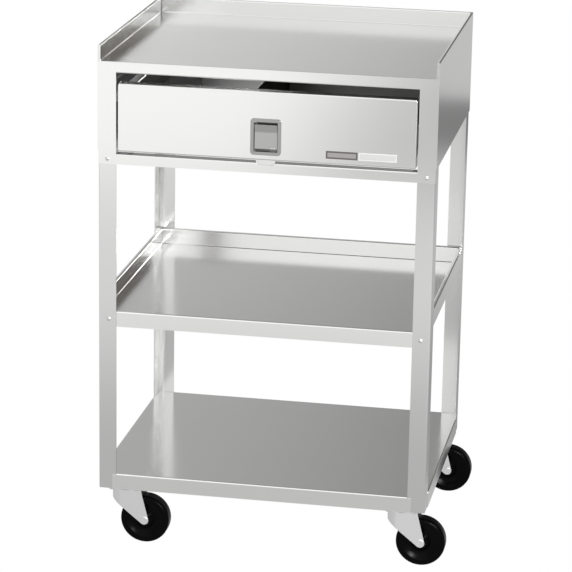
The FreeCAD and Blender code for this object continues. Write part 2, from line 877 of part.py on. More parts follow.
def build_fork(x, y):
    # One pressed yoke: a flat crown, a rounded leading wall and two legs that sweep back to the axle
    gap = hub_half + hub_gap
    outer = gap + fork_sheet
    tail = caster_trail + fork_end_radius
    drop = crown_z - axle_z
    low = -drop - fork_end_radius - 1
    yoke = fork_plan(outer, tail + 1, low, 0).cut(fork_plan(gap, tail + 2, low, -fork_sheet))
    top = Vec(crown_radius - 1, 0, 1)
    knee = Vec(outer - crown_radius, 0, -fork_knee)
    eye = Vec(caster_trail, 0, -drop)
    behind = tangent_point(top, eye, fork_end_radius, 1)
    before = tangent_point(knee, eye, fork_end_radius, -1)
    between = (behind - eye) + (before - eye)
    between.normalize()
    lowest = eye + between * fork_end_radius
    profile = Part.Face(Part.Wire([
        Part.makeLine(top, behind),
        Part.Arc(behind, lowest, before).toShape(),
        Part.makeLine(before, knee),
        Part.makeLine(knee, Vec(-crown_radius - 1, 0, -crown_drop)),
        Part.makeLine(Vec(-crown_radius - 1, 0, -crown_drop), Vec(-crown_radius - 1, 0, 1)),
        Part.makeLine(Vec(-crown_radius - 1, 0, 1), top),
    ]))
    swept = profile.extrude(Vec(0, 4 * outer, 0))
    swept.translate(Vec(0, -2 * outer, 0))
    yoke = yoke.common(swept)
    king_hole = Part.makeCylinder(kingpin_radius + pin_fit, 3 * fork_sheet, Vec(0, 0, -2 * fork_sheet))
    axle_hole = Part.makeCylinder(axle_radius, 4 * outer, Vec(caster_trail, -2 * outer, -drop), Vec(0, 1, 0))
    yoke = yoke.cut(king_hole).cut(axle_hole)
    yoke.translate(Vec(x, y, crown_z))
    return yoke


def build_wheel(x, y):
    # Hard rubber wheel: a broad rim, a thinner web in both its sides and a hub boss
    centre = Vec(x + caster_trail, y, axle_z)
    way = Vec(0, 1, 0)
    wheel = Part.makeCylinder(wheel_radius, 2 * tyre_half, centre - way * tyre_half, way)
    for start in (web_half, -tyre_half):
        recess = Part.makeCylinder(rim_radius, tyre_half - web_half, centre + way * start, way)
        wheel = wheel.cut(recess)
    hub = Part.makeCylinder(hub_radius, 2 * hub_half, centre - way * hub_half, way)
    bore = Part.makeCylinder(bush_radius, 2 * hub_half, centre - way * hub_half, way)
    return wheel.fuse(hub).cut(bore).removeSplitter()


def build_hub_bush(x, y):
    # Steel sleeve pressed in the hub, running on the axle between the fork legs
    length = 2 * hub_half
    start = Vec(x + caster_trail, y - hub_half, axle_z)
    sleeve = Part.makeCylinder(bush_radius, length, start, Vec(0, 1, 0))
    bore = Part.makeCylinder(axle_radius + pin_fit, length, start, Vec(0, 1, 0))
    return sleeve.cut(bore)


def build_axle(x, y):
    # Axle rivet with a flat round head outside each fork leg
    outer = hub_half + hub_gap + fork_sheet
    centre = Vec(x + caster_trail, y, axle_z)
    way = Vec(0, 1, 0)
    axle = Part.makeCylinder(axle_radius, 2 * outer, centre - way * outer, way)
    for start in (outer, -outer - axle_head_height):
        axle = axle.fuse(Part.makeCylinder(axle_head, axle_head_height, centre + way * start, way))
    return axle.removeSplitter()


def build_caster_bolts():
    # Hexagon bolts, put in from below through each plate into the nuts of the channel
    low = frame_bottom - plate_sheet
    length = plate_sheet + sheet + nut_height
    bolts = []
    for x, y in stem_places().values():
        for dx, dy in hole_offsets():
            place = Vec(x + dx, y + dy, low)
            shank = Part.makeCylinder(bolt_radius, length, place)
            head_low = place - Vec(0, 0, bolt_head_height)
            head = hexagon(head_low, bolt_head_flats, bolt_head_height)
            bolts.append(shank.fuse(head).removeSplitter())
    return Part.makeCompound(bolts)


def rivet(place, direction, grip):
    # A domed rivet: the head stands on the face at the place, the shank goes in along the direction
    outward = Vec(direction) * -1
    shank = Part.makeCylinder(rivet_radius, grip, place, direction)
    ball = (rivet_head_radius ** 2 + rivet_head_height ** 2) / (2 * rivet_head_height)
    sphere = Part.makeSphere(ball, place - outward * (ball - rivet_head_height))
    cap = Part.makeCylinder(rivet_head_radius, rivet_head_height, place, outward)
    return shank.fuse(sphere.common(cap))


def frame_rivet_places():
    z = frame_low + frame_rail / 2
    x = leg_x - frame_rivet_inset
    return [Vec(-x, face_y, z), Vec(x, face_y, z)]


def build_frame_rivets():
    # Hold the foot of the face frame to the front legs
    grip = sheet + leg_sheet
    return Part.makeCompound([rivet(place, Vec(0, 1, 0), grip) for place in frame_rivet_places()])


def shelf_rivet_places():
    # Two through the back flange and two through the front lip, each near its leg
    z = middle_shelf_height + shelf_flange - shelf_rivet_drop
    lip_z = middle_shelf_height - shelf_front_lip / 2
    x = leg_x - frame_rivet_inset - leg_sheet
    places = []
    for side in (-1, 1):
        places.append((Vec(side * x, leg_y, z), Vec(0, -1, 0)))
        places.append((Vec(side * x, -leg_y, lip_z), Vec(0, 1, 0)))
    return places


def build_shelf_rivets():
    # Hold the middle shelf to the legs
    grip = leg_sheet + sheet
    return Part.makeCompound([rivet(place, way, grip) for place, way in shelf_rivet_places()])


def drill(shape, places, way, depth):
    # Rivet holes, a close fit on the shanks
    for place in places:
        start = place - Vec(way)
        shape = shape.cut(Part.makeCylinder(rivet_radius, depth + 2, start, way))
    return shape


def write(name, shape):
    shape.exportStep("parts/" + name + ".step")


def main():
    os.makedirs("parts", exist_ok=True)
    grip = leg_sheet + 2 * sheet
    write("top_tray", build_top_tray())
    write("face_frame", drill(build_face_frame(), frame_rivet_places(), Vec(0, 1, 0), sheet))
    for corner, (side, end) in CORNERS.items():
        leg = to_corner(build_leg(), side, end)
        if end < 0:
            leg = drill(leg, frame_rivet_places(), Vec(0, 1, 0), grip)
        for place, way in shelf_rivet_places():
            leg = drill(leg, [place], way, grip)
        write("leg_" + corner, leg)
    middle = build_middle_shelf()
    for place, way in shelf_rivet_places():
        middle = drill(middle, [place], way, leg_sheet + sheet)
    write("middle_shelf", middle)
    write("lower_shelf", build_lower_shelf())
    for side_name, side in SIDES.items():
        write("caster_channel_" + side_name, build_caster_channel(side))
        write("slide_bracket_" + side_name, build_slide_bracket(side))
        write("cabinet_slide_" + side_name, build_cabinet_slide(side))
        write("drawer_slide_" + side_name, build_drawer_slide(side))
    write("drawer_front", build_drawer_front())
    write("drawer_box", build_drawer_box())
    first = -box_half + divider_first
    write("drawer_divider_left", build_divider(first))
    write("drawer_divider_right", build_divider(first + divider_spacing))
    write("latch_pan", build_latch_pan())
    write("latch_pin", build_latch_pin())
    write("latch_paddle", build_latch_paddle())
    write("latch_spring", build_latch_spring())
    write("latch_bolt", build_latch_bolt())
    write("latch_guide", build_latch_guide())
    write("latch_strike", build_latch_strike())
    for corner, (x, y) in stem_places().items():
        write("caster_plate_" + corner, build_caster_plate(x, y))
        write("race_ring_" + corner, build_race_ring(x, y))
        write("kingpin_" + corner, build_kingpin(x, y))
        write("fork_" + corner, build_fork(x, y))
        write("wheel_" + corner, build_wheel(x, y))
        write("hub_bush_" + corner, build_hub_bush(x, y))
        write("axle_" + corner, build_axle(x, y))
    write("caster_bolts", build_caster_bolts())
    write("frame_rivets", build_frame_rivets())
    write("shelf_rivets", build_shelf_rivets())


main()
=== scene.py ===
import math

import bpy
from bpy.props import FloatProperty, FloatVectorProperty, PointerProperty
from bpy.types import Operator, Panel, PropertyGroup
from mathutils import Matrix, Vector


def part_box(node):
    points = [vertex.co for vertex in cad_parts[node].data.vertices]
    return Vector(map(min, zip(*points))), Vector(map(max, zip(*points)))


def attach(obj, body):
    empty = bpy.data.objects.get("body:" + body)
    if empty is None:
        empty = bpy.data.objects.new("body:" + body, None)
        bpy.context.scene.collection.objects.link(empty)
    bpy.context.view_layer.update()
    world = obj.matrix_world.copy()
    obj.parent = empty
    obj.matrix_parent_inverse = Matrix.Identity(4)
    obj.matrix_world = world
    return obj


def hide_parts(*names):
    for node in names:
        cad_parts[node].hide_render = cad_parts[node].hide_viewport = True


bl_info = {
    "name": "Instrument Trolley",
    "version": (1, 0, 0),
    "blender": (4, 5, 0),
    "location": "View3D > Sidebar > Trolley",
    "description": "Finishes, wheels, plates and studio of a stainless instrument trolley",
    "category": "Object",
}

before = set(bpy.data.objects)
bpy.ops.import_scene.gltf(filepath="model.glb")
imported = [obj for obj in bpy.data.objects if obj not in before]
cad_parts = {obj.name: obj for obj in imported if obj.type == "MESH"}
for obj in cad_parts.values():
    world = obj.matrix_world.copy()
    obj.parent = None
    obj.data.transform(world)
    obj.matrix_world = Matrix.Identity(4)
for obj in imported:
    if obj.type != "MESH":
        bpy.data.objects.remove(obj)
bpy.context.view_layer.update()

CORNERS = ("front_left", "front_right", "rear_left", "rear_right")
WHITE = (1, 1, 1, 1)
BUMP_DISTANCE = 0.0002
PATCH_SHARE = 0.35


class TrolleySteel(PropertyGroup):
    sheet_colour: FloatVectorProperty(
        name="Sheet", description="Colour of the top, the face frame and the drawer front",
        default=(0.74, 0.74, 0.73), subtype="COLOR", min=0, max=1)
    leg_colour: FloatVectorProperty(
        name="Legs", description="Colour of the folded legs",
        default=(0.68, 0.68, 0.675), subtype="COLOR", min=0, max=1)
    shelf_colour: FloatVectorProperty(
        name="Shelves", description="Colour of the two shelves",
        default=(0.80, 0.80, 0.79), subtype="COLOR", min=0, max=1)
    # Darker than the outer sheet: painted shade of the closed drawer's inside
    inner_shade_colour: FloatVectorProperty(
        name="Drawer inside", description="Colour of the drawer's box",
        default=(0.55, 0.55, 0.545), subtype="COLOR", min=0, max=1)
    # Near black: painted shadow beside the drawer's partitions, seen through the slit over the drawer
    partition_shadow_colour: FloatVectorProperty(
        name="Partitions", description="Colour of the drawer's dark partitions",
        default=(0.03, 0.03, 0.031), subtype="COLOR", min=0, max=1)
    sheet_roughness: FloatProperty(
        name="Satin", description="How far the rolled sheet blurs what it reflects",
        default=0.17, min=0, max=1, subtype="FACTOR")
    shelf_roughness: FloatProperty(
        name="Shelf satin", description="How far the shelves blur what they reflect",
        default=0.17, min=0, max=1, subtype="FACTOR")
    grain_width: FloatProperty(
        name="Grain width", description="Spacing of the polishing lines",
        default=0.0004, min=0.0001, max=0.01, subtype="DISTANCE", unit="LENGTH")


class TrolleyWheels(PropertyGroup):
    dish_depth: FloatProperty(
        name="Dish", description="How deep the wheel's side is hollowed between rim and hub",
        default=0.0032, min=0, max=0.01, subtype="DISTANCE", unit="LENGTH")
    shoulder: FloatProperty(
        name="Shoulder", description="Radius of the tread's rounded edge",
        default=0.0045, min=0.0005, max=0.01, subtype="DISTANCE", unit="LENGTH")
    colour: FloatVectorProperty(
        name="Rubber", description="Colour of the hard rubber",
        default=(0.0012, 0.0012, 0.0015), subtype="COLOR", min=0, max=1)


class TrolleyEdges(PropertyGroup):
    sheet: FloatProperty(
        name="Sheet", description="Thickness of the folded sheet",
        default=0.0012, min=0.0005, max=0.003, subtype="DISTANCE", unit="LENGTH")
    opening_low: FloatProperty(
        name="Sill", description="Height of the drawer opening's lower edge over the floor",
        default=0.6248, min=0.6, max=0.65, subtype="DISTANCE", unit="LENGTH")
    hem_gap: FloatProperty(
        name="Hem gap", description="Space between the two walls of the top's flanges",
        default=0.0020, min=0.0005, max=0.005, subtype="DISTANCE", unit="LENGTH")
    clearance: FloatProperty(
        name="Clearance", description="Air left beside the pieces that the edges face",
        default=0.0001, min=0, max=0.002, subtype="DISTANCE", unit="LENGTH")


class TrolleyPlates(PropertyGroup):
    bottom: FloatProperty(
        name="Bottom edge", description="Height of the plates' lower edge over the floor",
        default=0.6372, min=0.6, max=0.75, subtype="DISTANCE", unit="LENGTH")
    height: FloatProperty(
        name="Height", description="Height of both plates",
        default=0.0116, min=0.002, max=0.03, subtype="DISTANCE", unit="LENGTH")
    thickness: FloatProperty(
        name="Thickness", description="How far the plates stand on the drawer front",
        default=0.0005, min=0.0001, max=0.002, subtype="DISTANCE", unit="LENGTH")
    rim: FloatProperty(
        name="Rim", description="Width of the rim round each plate's field",
        default=0.0024, min=0.0002, max=0.005, subtype="DISTANCE", unit="LENGTH")


def node_tree(owner):
    """The emptied node tree of a material or a world."""
    owner.use_nodes = True
    tree = owner.node_tree
    tree.nodes.clear()
    return tree


def add_node(tree, kind, **values):
    node = tree.nodes.new(kind)
    for name, value in values.items():
        setattr(node, name, value)
    return node


def link(tree, source, target):
    tree.links.new(source, target)


def grain_group():
    """Polishing lines along one axis, with slow patches that a cloth and hands leave."""
    name = "PolishingGrain"
    if name in bpy.data.node_groups:
        return bpy.data.node_groups[name]
    group = bpy.data.node_groups.new(name, "ShaderNodeTree")
    face = group.interface
    face.new_socket("Along", in_out="INPUT", socket_type="NodeSocketVector")
    face.new_socket("Lines", in_out="INPUT", socket_type="NodeSocketFloat").default_value = 1400.0
    face.new_socket("Roughness", in_out="INPUT", socket_type="NodeSocketFloat").default_value = 0.3
    face.new_socket("Spread", in_out="INPUT", socket_type="NodeSocketFloat").default_value = 0.08
    face.new_socket("Light", in_out="INPUT", socket_type="NodeSocketColor")
    face.new_socket("Dark", in_out="INPUT", socket_type="NodeSocketColor")
    face.new_socket("Color", in_out="OUTPUT", socket_type="NodeSocketColor")
    face.new_socket("Roughness", in_out="OUTPUT", socket_type="NodeSocketFloat")
    face.new_socket("Height", in_out="OUTPUT", socket_type="NodeSocketFloat")
    start = add_node(group, "NodeGroupInput")
    end = add_node(group, "NodeGroupOutput")
    lines = add_node(group, "ShaderNodeTexNoise", noise_dimensions="3D")
    lines.inputs["Detail"].default_value = 3.0
    lines.inputs["Roughness"].default_value = 0.65
    link(group, start.outputs["Along"], lines.inputs["Vector"])
    link(group, start.outputs["Lines"], lines.inputs["Scale"])
    place = add_node(group, "ShaderNodeTexCoord")
    patches = add_node(group, "ShaderNodeTexNoise", noise_dimensions="3D")
    patches.inputs["Scale"].default_value = 7.0
    patches.inputs["Detail"].default_value = 2.0
    link(group, place.outputs["Object"], patches.inputs["Vector"])
    pattern = add_node(group, "ShaderNodeMix", data_type="FLOAT")
    pattern.inputs["Factor"].default_value = PATCH_SHARE
    link(group, lines.outputs["Fac"], pattern.inputs["A"])
    link(group, patches.outputs["Fac"], pattern.inputs["B"])
    colour = add_node(group, "ShaderNodeMix", data_type="RGBA")
    link(group, pattern.outputs["Result"], colour.inputs["Factor"])
    link(group, start.outputs["Dark"], colour.inputs["A"])
    link(group, start.outputs["Light"], colour.inputs["B"])
    link(group, colour.outputs["Result"], end.inputs["Color"])
    centred = add_node(group, "ShaderNodeMath", operation="SUBTRACT")
    centred.inputs[1].default_value = 0.5
    link(group, pattern.outputs["Result"], centred.inputs[0])
    rough = add_node(group, "ShaderNodeMath", operation="MULTIPLY_ADD")
    link(group, centred.outputs[0], rough.inputs[0])
    link(group, start.outputs["Spread"], rough.inputs[1])
    link(group, start.outputs["Roughness"], rough.inputs[2])
    link(group, rough.outputs[0], end.inputs["Roughness"])
    link(group, lines.outputs["Fac"], end.inputs["Height"])
    return group


def steel(name, colour, roughness, stretch, contrast=0.018, bump=0.012):
    """Metal with polishing lines; stretch holds the pattern's squeeze along X, Y and Z."""
    material = bpy.data.materials.new(name)
    tree = node_tree(material)
    looks = bpy.context.scene.trolley_steel
    place = add_node(tree, "ShaderNodeTexCoord")
    turn = add_node(tree, "ShaderNodeMapping")
    turn.inputs["Scale"].default_value = stretch
    link(tree, place.outputs["Object"], turn.inputs["Vector"])
    grain = add_node(tree, "ShaderNodeGroup", node_tree=grain_group())
    grain.inputs["Lines"].default_value = 1.0 / looks.grain_width
    grain.inputs["Roughness"].default_value = roughness
    grain.inputs["Light"].default_value = tuple(min(1.0, c * (1 + contrast)) for c in colour) + (1,)
    grain.inputs["Dark"].default_value = tuple(c * (1 - contrast) for c in colour) + (1,)
    link(tree, turn.outputs["Vector"], grain.inputs["Along"])
    raised = add_node(tree, "ShaderNodeBump")
    raised.inputs["Strength"].default_value = bump
    raised.inputs["Distance"].default_value = BUMP_DISTANCE
    link(tree, grain.outputs["Height"], raised.inputs["Height"])
    shader = add_node(tree, "ShaderNodeBsdfPrincipled")
    shader.inputs["Metallic"].default_value = 1.0
    link(tree, grain.outputs["Color"], shader.inputs["Base Color"])
    link(tree, grain.outputs["Roughness"], shader.inputs["Roughness"])
    link(tree, raised.outputs["Normal"], shader.inputs["Normal"])
    out = add_node(tree, "ShaderNodeOutputMaterial")
    link(tree, shader.outputs["BSDF"], out.inputs["Surface"])
    return material


def rubber(name, colour):
    """Hard glossy rubber with a faint moulded mottle."""
    material = bpy.data.materials.new(name)
    tree = node_tree(material)
    place = add_node(tree, "ShaderNodeTexCoord")
    mottle = add_node(tree, "ShaderNodeTexNoise", noise_dimensions="3D")
    mottle.inputs["Scale"].default_value = 260.0
    mottle.inputs["Detail"].default_value = 3.0
    link(tree, place.outputs["Object"], mottle.inputs["Vector"])
    darkest, lightest = 0.7, 1.6
    tone = add_node(tree, "ShaderNodeMix", data_type="RGBA")
    tone.inputs["A"].default_value = tuple(c * darkest for c in colour) + (1,)
    tone.inputs["B"].default_value = tuple(c * lightest for c in colour) + (1,)
    link(tree, mottle.outputs["Fac"], tone.inputs["Factor"])
    rough = add_node(tree, "ShaderNodeMapRange")
    rough.inputs["To Min"].default_value = 0.16
    rough.inputs["To Max"].default_value = 0.30
    link(tree, mottle.outputs["Fac"], rough.inputs["Value"])
    raised = add_node(tree, "ShaderNodeBump")
    raised.inputs["Strength"].default_value = 0.05
    raised.inputs["Distance"].default_value = BUMP_DISTANCE
    link(tree, mottle.outputs["Fac"], raised.inputs["Height"])
    shader = add_node(tree, "ShaderNodeBsdfPrincipled")
    shader.inputs["Specular IOR Level"].default_value = 0.05
    link(tree, tone.outputs["Result"], shader.inputs["Base Color"])
    link(tree, rough.outputs["Result"], shader.inputs["Roughness"])
    link(tree, raised.outputs["Normal"], shader.inputs["Normal"])
    out = add_node(tree, "ShaderNodeOutputMaterial")
    link(tree, shader.outputs["BSDF"], out.inputs["Surface"])
    return material


def dress(material, *names):
    """Puts the finish on the named pieces."""
    for name in names:
        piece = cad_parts[name]
        if not piece.material_slots:
            piece.data.materials.append(material)
        for place in piece.material_slots:
            place.material = material


def at_corners(*stems):
    return [stem + corner for stem in stems for corner in CORNERS]


def begin_piece():
    if bpy.context.mode != "OBJECT":
        bpy.ops.object.mode_set(mode="OBJECT")
    bpy.ops.object.select_all(action="DESELECT")


def settle(piece, name, material, body):
    """Moves the piece's place into its mesh, names it and hands it to its body."""
    begin_piece()
    piece.select_set(True)
    bpy.context.view_layer.objects.active = piece
    bpy.ops.object.transform_apply(location=True, rotation=True, scale=True)
    piece.name = name
    piece.data.name = name
    piece.data.materials.clear()
    piece.data.materials.append(material)
    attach(piece, body)
    return piece


class TROLLEY_OT_sheets(Operator):
    """Finish the folded stainless sheets: top, face frame, legs, shelves and drawer"""
    bl_idname = "trolley.sheets"
    bl_label = "Sheets"

    def execute(self, context):
        looks = context.scene.trolley_steel
        across = (0.01, 1, 1)
        upright = (1, 1, 0.01)
        inward = (1, 0.01, 1)
        # The drawer's box and its partitions are duller than the outer sheets; the box's darker colour is
        # painted shade of the closed drawer's inside
        inside_roughness = looks.sheet_roughness + 0.12
        partition_roughness = looks.sheet_roughness + 0.3
        dress(steel("SatinSheet", looks.sheet_colour, looks.sheet_roughness, across),
              "top_tray", "face_frame", "drawer_front")
        dress(steel("SatinLeg", looks.leg_colour, looks.sheet_roughness, upright), *at_corners("leg_"))
        dress(steel("SatinShelf", looks.shelf_colour, looks.shelf_roughness, across),
              "middle_shelf", "lower_shelf")
        dress(steel("DullShadedInside", looks.inner_shade_colour, inside_roughness, inward), "drawer_box")
        # The partitions' near-black colour is painted shadow
        dress(steel("PartitionShadowSteel", looks.partition_shadow_colour, partition_roughness, inward),
              "drawer_divider_left", "drawer_divider_right")
        return {"FINISHED"}


class TROLLEY_OT_latch(Operator):
    """Finish the pull, its pan and the bolt"""
    bl_idname = "trolley.latch"
    bl_label = "Latch"

    def execute(self, context):
        dress(steel("LatchPlate", (0.34, 0.34, 0.335), 0.24, (1, 1, 0.05)), "latch_pan", "latch_pin")
        dress(steel("PaddlePlate", (0.41, 0.41, 0.405), 0.24, (1, 1, 0.05)), "latch_paddle")
        dress(steel("BoltPlate", (0.66, 0.66, 0.65), 0.32, (1, 1, 0.1), 0.05, 0.03),
              "latch_bolt", "latch_guide", "latch_spring", "latch_strike")
        return {"FINISHED"}


class TROLLEY_OT_hardware(Operator):
    """Finish the slides, brackets, channels, casters and fasteners"""
    bl_idname = "trolley.hardware"
    bl_label = "Hardware"

    def execute(self, context):
        plated = steel("PlatedSheet", (0.56, 0.57, 0.59), 0.38, (0.2, 0.2, 1), 0.14, 0.08)
        dress(plated, *[stem + side for stem in
                        ("caster_channel_", "slide_bracket_", "cabinet_slide_", "drawer_slide_")
                        for side in ("left", "right")])
        dress(steel("CasterZinc", (0.80, 0.80, 0.80), 0.32, (0.3, 0.3, 0.3), 0.05, 0.04),
              *at_corners("fork_", "caster_plate_", "kingpin_", "axle_"))
        dress(steel("RaceSteel", (0.22, 0.22, 0.23), 0.4, (1, 1, 0.1), 0.1, 0.05),
              *at_corners("race_ring_", "hub_bush_"))
        dress(steel("BoltHeads", (0.62, 0.62, 0.62), 0.3, (1, 1, 1), 0.1, 0.05),
              "caster_bolts", "frame_rivets", "shelf_rivets")
        return {"FINISHED"}


class TROLLEY_OT_wheels(Operator):
    """Turn the smooth hard-rubber wheels"""
    bl_idname = "trolley.wheels"
    bl_label = "Wheels"

    def execute(self, context):
        looks = context.scene.trolley_wheels
        material = rubber("HardRubber", looks.colour)
        for corner in CORNERS:
            low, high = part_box("wheel_" + corner)
            bush_low, bush_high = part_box("hub_bush_" + corner)
            self.make_wheel(corner, low, high, (bush_high.z - bush_low.z) / 2, looks, material)
        return {"FINISHED"}

    def make_wheel(self, corner, low, high, bore, looks, material):
        # The tread is narrower than the solid wheel, so that the hub can stand out past it
        tread_margin = 0.002
        sides = 96
        fewest_sides = 12
        level = 1e-6
        least_ring = 0.0005
        smooth_angle = math.radians(40)
        centre = (low + high) / 2
        radius = (high.z - low.z) / 2
        width = high.y - low.y - tread_margin
        begin_piece()
        bpy.ops.mesh.primitive_cylinder_add(
            vertices=sides, radius=radius, depth=width, location=centre, rotation=(math.pi / 2, 0, 0))
        wheel = bpy.context.active_object
        bpy.ops.object.transform_apply(location=False, rotation=True, scale=False)
        bpy.ops.object.mode_set(mode="EDIT")
        bpy.ops.mesh.select_mode(type="EDGE")
        bpy.ops.mesh.select_all(action="DESELECT")
        bpy.ops.object.mode_set(mode="OBJECT")
        for edge in wheel.data.edges:
            a, b = (wheel.data.vertices[i].co for i in edge.vertices)
            edge.select = abs(a.y - b.y) < level
        bpy.ops.object.mode_set(mode="EDIT")
        bpy.ops.mesh.bevel(offset=looks.shoulder, segments=6, profile=0.5)
        bpy.ops.object.mode_set(mode="OBJECT")
        # From the rim to the hub: how far inward each ring reaches, and how far out it stands
        dish = looks.dish_depth
        steps = (
            (0.0030, 0.0004), (0.0040, -dish * 0.25), (0.0035, -dish * 0.75),
            (0.0080, -dish * 0.15), (0.0025, dish * 0.9), (0.0015, dish * 0.5),
        )
        self.end_faces(wheel, fewest_sides)
        bpy.ops.object.mode_set(mode="EDIT")
        for inward, outward in steps:
            bpy.ops.mesh.inset(thickness=inward, depth=outward)
        bpy.ops.object.mode_set(mode="OBJECT")
        reached = self.end_faces(wheel, fewest_sides)
        bpy.ops.object.mode_set(mode="EDIT")
        bpy.ops.mesh.inset(thickness=max(reached - bore, least_ring), depth=0)
        bpy.ops.mesh.select_mode(type="FACE")
        bpy.ops.mesh.bridge_edge_loops()
        bpy.ops.mesh.select_all(action="SELECT")
        bpy.ops.mesh.normals_make_consistent(inside=False)
        bpy.ops.object.mode_set(mode="OBJECT")
        bpy.ops.object.shade_smooth_by_angle(angle=smooth_angle)
        settle(wheel, "tyre_" + corner, material, "roller_" + corner)
        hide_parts("wheel_" + corner)

    def end_faces(self, wheel, fewest_sides):
        """Selects the two many-sided end faces and returns their radius."""
        for edge in wheel.data.edges:
            edge.select = False
        reached = 0.0
        for face in wheel.data.polygons:
            face.select = len(face.vertices) > fewest_sides
            if face.select:
                spot = wheel.data.vertices[face.vertices[0]].co
                reached = math.hypot(spot.x, spot.z)
        return reached


class TROLLEY_OT_turned_edges(Operator):
    """Fold the edges behind the drawer opening and close the ends of the top's hems"""
    bl_idname = "trolley.turned_edges"
    bl_label = "Turned edges"

    def execute(self, context):
        looks = context.scene.trolley_edges
        sheet = looks.sheet
        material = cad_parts["face_frame"].material_slots[0].material
        rail_low, rail_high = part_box("face_frame")
        bracket_low, bracket_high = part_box("slide_bracket_left")
        tray_low, tray_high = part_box("top_tray")
        rounding = 0.2
        edge = -bracket_high.x
        outer = -tray_low.x - sheet
        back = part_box("drawer_front")[1].y - looks.clearance
        sill = looks.opening_low
        # The upright edges begin behind the frame's own sheet, the hems' ends just behind the tray's front
        upright_start = rail_low.y + 3 * sheet
        hem_start = tray_low.y + 0.0001
        pieces = [("opening_return_low", (-edge, edge), (rail_high.y, back), (sill - sheet, sill))]
        for side, name in ((-1, "left"), (1, "right")):
            across = sorted((side * edge, side * (edge + sheet)))
            pieces.append(("opening_return_" + name, across,
                           (upright_start, back), (sill, bracket_low.z - looks.clearance)))
            across = sorted((side * outer, side * (outer - looks.hem_gap)))
            pieces.append(("hem_end_" + name, across, (hem_start, tray_low.y + sheet),
                           (rail_high.z, tray_high.z - sheet - looks.clearance)))
        for name, across, deep, upright in pieces:
            low = Vector((across[0], deep[0], upright[0]))
            high = Vector((across[1], deep[1], upright[1]))
            begin_piece()
            bpy.ops.mesh.primitive_cube_add(size=1, location=(low + high) / 2)
            piece = bpy.context.active_object
            piece.scale = high - low
            bpy.ops.object.transform_apply(location=False, rotation=False, scale=True)
            bpy.ops.object.mode_set(mode="EDIT")
            bpy.ops.mesh.select_all(action="SELECT")
            bpy.ops.mesh.bevel(offset=sheet * rounding, segments=2)
            bpy.ops.object.mode_set(mode="OBJECT")
            settle(piece, name, material, "frame")
        return {"FINISHED"}


class TROLLEY_OT_plates(Operator):
    """Fix the two bare plates to the drawer front"""
    bl_idname = "trolley.plates"
    bl_label = "Plates"

    def execute(self, context):
        looks = context.scene.trolley_plates
        low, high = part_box("drawer_front")
        along = (0.05, 1, 1)
        dark_span = (0.090, 0.137)
        pale_span = (0.1385, 0.195)
        pale_rim = looks.rim * 0.6
        field_lift = 1.2
        rounding = 0.3
        # Each plate has a rim of another tone round its bare field, which stands a little higher
        for name, (left, right), rim, colour in (
            ("dark_plate", dark_span, 0, (0.15, 0.14, 0.135)),
            ("dark_plate_field", dark_span, looks.rim, (0.36, 0.35, 0.34)),
            ("pale_plate", pale_span, 0, (0.84, 0.84, 0.83)),
            ("pale_plate_field", pale_span, pale_rim, (0.66, 0.66, 0.655)),
        ):
            material = steel(name, colour, 0.30, along, 0.05, 0.02)
            depth = looks.thickness * (field_lift if rim else 1.0)
            begin_piece()
            middle = Vector(((left + right) / 2, low.y - depth / 2, looks.bottom + looks.height / 2))
            bpy.ops.mesh.primitive_cube_add(size=1, location=middle)
            plate = bpy.context.active_object
            plate.scale = (right - left - 2 * rim, depth, looks.height - 2 * rim)
            bpy.ops.object.transform_apply(location=False, rotation=False, scale=True)
            bpy.ops.object.mode_set(mode="EDIT")
            bpy.ops.mesh.select_all(action="SELECT")
            bpy.ops.mesh.bevel(offset=looks.thickness * rounding, segments=2)
            bpy.ops.object.mode_set(mode="OBJECT")
            settle(plate, name, material, "drawer")
        return {"FINISHED"}


def falloff(tree, source, start, end, low, high):
    """A value that runs from low to high while the source runs from start to end."""
    ramp = add_node(tree, "ShaderNodeMapRange", interpolation_type="SMOOTHSTEP")
    for name, value in (("From Min", start), ("From Max", end), ("To Min", low), ("To Max", high)):
        ramp.inputs[name].default_value = value
    link(tree, source, ramp.inputs["Value"])
    return ramp.outputs["Result"]


def combine(tree, operation, first, second):
    node = add_node(tree, "ShaderNodeMath", operation=operation)
    link(tree, first, node.inputs[0])
    link(tree, second, node.inputs[1])
    return node.outputs[0]


def blend(tree, factor, first, second):
    """The first value where the factor is 0, the second where it is 1."""
    node = add_node(tree, "ShaderNodeMix", data_type="FLOAT")
    link(tree, factor, node.inputs["Factor"])
    link(tree, first, node.inputs["A"])
    link(tree, second, node.inputs["B"])
    return node.outputs["Result"]


